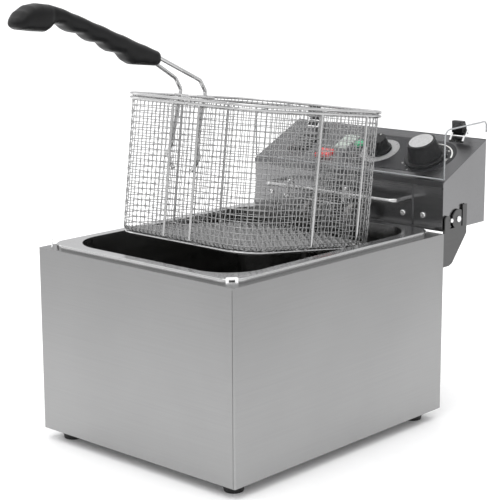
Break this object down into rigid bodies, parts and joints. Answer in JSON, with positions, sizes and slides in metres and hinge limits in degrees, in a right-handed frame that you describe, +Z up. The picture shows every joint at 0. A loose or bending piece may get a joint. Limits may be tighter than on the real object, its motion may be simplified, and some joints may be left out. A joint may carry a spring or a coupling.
{
  "type": "deep fryer",
  "caption": "Countertop deep fryer with a lift-out oil tank, tilting control head, heating element and a long-handled wire basket.",
  "frame": {"origin": "middle of the whole object's footprint, on the surface that its four feet stand on", "axes": "+Z up; +Y from the user's side (basket handle) towards the control head at the back; +X to the user's right when facing the fryer"},
  "size_m": [0.2854, 0.5705, 0.4778],
  "materials": {
    "casing_steel": "brushed stainless sheet",
    "tank_steel": "drawn stainless, satin",
    "head_steel": "brushed stainless sheet",
    "screw_steel": "bright plated",
    "element_steel": "dull heater sheath",
    "wire_chrome": "bright plated wire",
    "foot_rubber": "matt",
    "label_black": "printed film",
    "inner_plastic": "moulded",
    "switch_black": "glossy",
    "knob_black": "satin",
    "cap_aluminium": "spun",
    "lens_red": "translucent",
    "lens_green": "translucent",
    "wire_insulation": "silicone",
    "cover_clear": "clear, polished",
    "grip_black": "fine grain"
  },
  "bodies": {
    "casing": {"casing_shell": "casing_steel", "base_plate": "casing_steel", "rear_panel": "casing_steel", "foot_front_left": "foot_rubber", "foot_rear_left": "foot_rubber", "foot_front_right": "foot_rubber", "foot_rear_right": "foot_rubber", "foot_screws": "screw_steel", "rear_panel_screws": "screw_steel", "bracket_left": "casing_steel", "bracket_right": "casing_steel", "bracket_screws": "screw_steel", "tank": "tank_steel", "tank_locating_lugs": "casing_steel"},
    "control_head": {"head_housing": "head_steel", "control_panel": "head_steel", "head_back_cover": "head_steel", "head_bottom_plate": "head_steel", "back_cover_screws": "screw_steel", "element_plate": "head_steel", "element_plate_screws": "screw_steel", "heating_element": "element_steel", "element_nuts": "screw_steel", "capillary_bulbs": "element_steel", "bulb_bracket": "element_steel", "basket_hanger": "wire_chrome", "pivot_pins": "screw_steel", "stop_pins": "screw_steel", "panel_label": "label_black", "thermostat_body": "inner_plastic", "timer_body": "inner_plastic", "limiter_body": "inner_plastic", "rocker_housing": "switch_black", "lamp_red": "lens_red", "lamp_green": "lens_green", "terminal_block": "inner_plastic", "wiring": "wire_insulation", "cable_gland": "switch_black", "hinge_bases": "casing_steel", "hinge_pins": "screw_steel"},
    "thermostat_dial": {"thermostat_knob": "knob_black", "thermostat_knob_cap": "cap_aluminium", "thermostat_shaft": "screw_steel"},
    "timer_dial": {"timer_knob": "knob_black", "timer_shaft": "screw_steel"},
    "power_rocker": {"rocker_button": "switch_black"},
    "reset_push": {"reset_button": "lens_red"},
    "cover": {"transparent_cover": "cover_clear", "hinge_blocks": "knob_black"},
    "basket": {"basket_mesh": "wire_chrome", "basket_rim_upper": "wire_chrome", "basket_rim_lower": "wire_chrome", "basket_base_ring": "wire_chrome", "basket_floor_wires": "wire_chrome", "basket_wall_stays": "wire_chrome", "basket_rear_hook": "wire_chrome"},
    "basket_handle": {"handle_rod_left": "wire_chrome", "handle_rod_right": "wire_chrome", "handle_cross_bar": "wire_chrome", "handle_grip": "grip_black"}
  },
  "joints": [
    {"name": "head_tilt", "type": "hinge", "parent": "casing", "child": "control_head", "pos_m": [0, 0.2203, 0.225], "axis": [-1, 0, 0], "range_deg": [0, 70]},
    {"name": "cover_hinge", "type": "hinge", "parent": "control_head", "child": "cover", "pos_m": [0, 0.2723, 0.3136], "axis": [-1, 0, 0], "range_deg": [0, 95]},
    {"name": "thermostat_turn", "type": "hinge", "parent": "control_head", "child": "thermostat_dial", "pos_m": [0.0885, 0.22985, 0.28634], "axis": [0, 0.4334, -0.9012], "range_deg": [0, 270]},
    {"name": "timer_turn", "type": "hinge", "parent": "control_head", "child": "timer_dial", "pos_m": [0.021, 0.233, 0.28786], "axis": [0, 0.4334, -0.9012], "range_deg": [0, 300]},
    {"name": "switch_rock", "type": "hinge", "parent": "control_head", "child": "power_rocker", "pos_m": [-0.092, 0.22941, 0.28724], "axis": [1, 0, 0], "range_deg": [0, 16]},
    {"name": "reset_press", "type": "slide", "parent": "control_head", "child": "reset_push", "axis": [0, -1, 0], "range_m": [0, 0.003], "stiffness_N_per_m": 400, "springref_m": -0.002},
    {"name": "basket_lower", "type": "slide", "parent": "control_head", "child": "basket", "axis": [0, -0.1227, -0.9924], "range_m": [0, 0.1]},
    {"name": "handle_lift", "type": "slide", "parent": "basket", "child": "basket_handle", "axis": [0, 0.1227, 0.9924], "range_m": [0, 0.08]}
  ]
}
